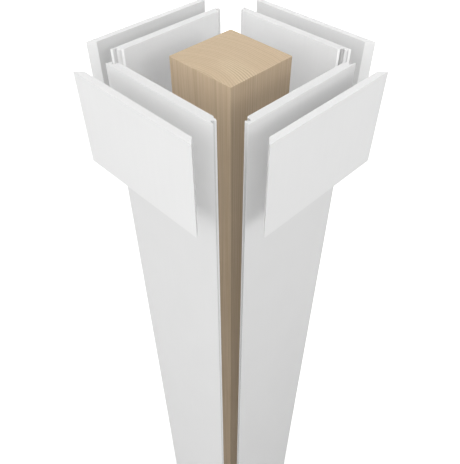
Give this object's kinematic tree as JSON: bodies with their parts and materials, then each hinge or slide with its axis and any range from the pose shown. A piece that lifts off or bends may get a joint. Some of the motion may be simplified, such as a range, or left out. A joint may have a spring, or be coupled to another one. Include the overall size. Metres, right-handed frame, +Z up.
{
  "type": "porch column wrap",
  "caption": "Square timber porch post with mitred white shaft boards round it and short capital boards at the top, shown pulled apart.",
  "frame": {"origin": "middle of the post's foot, on the floor", "axes": "+Z up along the post; -Y out of the front shaft board, +X to the right of it"},
  "size_m": [0.412, 0.412, 2.438],
  "materials": {
    "timber": "dressed, unfinished",
    "shaft_white": "smooth satin cellular board",
    "capital_white": "smooth satin cellular board"
  },
  "bodies": {
    "root": {"timber_post": "timber", "shaft_board_front": "shaft_white", "shaft_board_right": "shaft_white", "shaft_board_back": "shaft_white", "shaft_board_left": "shaft_white", "capital_board_front": "capital_white", "capital_board_right": "capital_white", "capital_board_back": "capital_white", "capital_board_left": "capital_white"}
  },
  "joints": []
}
